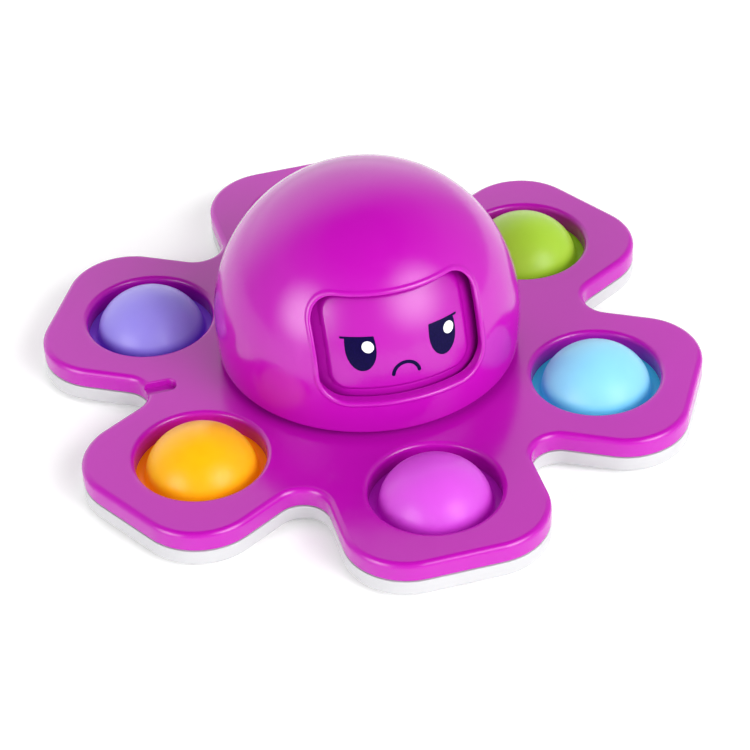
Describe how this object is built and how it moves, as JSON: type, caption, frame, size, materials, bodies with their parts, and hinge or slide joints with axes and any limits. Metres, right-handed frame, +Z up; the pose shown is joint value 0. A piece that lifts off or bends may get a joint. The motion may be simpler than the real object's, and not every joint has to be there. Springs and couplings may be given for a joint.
{
  "type": "push bubble octopus spinner",
  "caption": "Octopus-shaped fidget spinner: a star with a silicone push bubble in each arm spins round a domed head whose window shows a changeable face.",
  "frame": {"origin": "centre of the finger pad's underside, on the surface the toy stands on", "axes": "+Z up along the spin axis; the window of the head faces -Y; +Y runs along the arm behind the head"},
  "size_m": [0.1182, 0.125, 0.0457],
  "materials": {
    "magenta_abs": "glossy moulded ABS, magenta",
    "white_abs": "moulded ABS, white",
    "nylon": "natural nylon",
    "steel": "ground steel",
    "silicone_green": "satin translucent silicone",
    "silicone_yellow": "satin translucent silicone",
    "silicone_lavender": "satin translucent silicone",
    "silicone_orange": "satin translucent silicone",
    "silicone_pink": "satin translucent silicone",
    "silicone_blue": "satin translucent silicone"
  },
  "bodies": {
    "head": {"head_shell": "magenta_abs", "head_base": "white_abs", "base_screw_1": "steel", "base_screw_2": "steel", "base_screw_3": "steel", "detent_spring": "steel", "bearing_inner_race": "steel"},
    "faces": {"face_drum": "magenta_abs", "index_wheel": "nylon", "spindle": "white_abs", "drum_screw": "steel", "finger_pad": "magenta_abs"},
    "spinner": {"top_shell": "magenta_abs", "bottom_shell": "white_abs", "case_screw_1": "steel", "case_screw_2": "steel", "case_screw_3": "steel", "case_screw_4": "steel", "case_screw_5": "steel", "case_screw_6": "steel", "bearing_outer_race": "steel", "bubble_web_green": "silicone_green", "bubble_web_yellow": "silicone_yellow", "bubble_web_lavender": "silicone_lavender", "bubble_web_orange": "silicone_orange", "bubble_web_pink": "silicone_pink", "bubble_web_blue": "silicone_blue"},
    "bearing_cage": {"bearing_cage": "nylon", "bearing_ball_1": "steel", "bearing_ball_2": "steel", "bearing_ball_3": "steel", "bearing_ball_4": "steel", "bearing_ball_5": "steel", "bearing_ball_6": "steel", "bearing_ball_7": "steel"},
    "bubble_green": {"bubble_crown_green": "silicone_green"},
    "bubble_yellow": {"bubble_crown_yellow": "silicone_yellow"},
    "bubble_lavender": {"bubble_crown_lavender": "silicone_lavender"},
    "bubble_orange": {"bubble_crown_orange": "silicone_orange"},
    "bubble_pink": {"bubble_crown_pink": "silicone_pink"},
    "bubble_blue": {"bubble_crown_blue": "silicone_blue"}
  },
  "joints": [
    {"name": "face_turn", "type": "hinge", "parent": "head", "child": "faces", "pos_m": [0, 0, 0], "axis": [0, 0, 1], "continuous": true, "deforming": ["detent_spring"]},
    {"name": "arm_spin", "type": "hinge", "parent": "head", "child": "spinner", "pos_m": [0, 0, 0], "axis": [0, 0, 1], "continuous": true},
    {"name": "cage_spin", "type": "hinge", "parent": "head", "child": "bearing_cage", "pos_m": [0, 0, 0], "axis": [0, 0, 1], "continuous": true},
    {"name": "push_green", "type": "slide", "parent": "spinner", "child": "bubble_green", "axis": [0, 0, 1], "range_m": [-0.0118, 0], "deforming": ["bubble_web_green"]},
    {"name": "push_yellow", "type": "slide", "parent": "spinner", "child": "bubble_yellow", "axis": [0, 0, 1], "range_m": [-0.0118, 0], "deforming": ["bubble_web_yellow"]},
    {"name": "push_lavender", "type": "slide", "parent": "spinner", "child": "bubble_lavender", "axis": [0, 0, 1], "range_m": [-0.0118, 0], "deforming": ["bubble_web_lavender"]},
    {"name": "push_orange", "type": "slide", "parent": "spinner", "child": "bubble_orange", "axis": [0, 0, 1], "range_m": [-0.0118, 0], "deforming": ["bubble_web_orange"]},
    {"name": "push_pink", "type": "slide", "parent": "spinner", "child": "bubble_pink", "axis": [0, 0, 1], "range_m": [-0.0118, 0], "deforming": ["bubble_web_pink"]},
    {"name": "push_blue", "type": "slide", "parent": "spinner", "child": "bubble_blue", "axis": [0, 0, 1], "range_m": [-0.0118, 0], "deforming": ["bubble_web_blue"]}
  ],
  "couplings": [
    {"joint": "cage_spin", "follows": "arm_spin", "ratio": 0.6323}
  ]
}
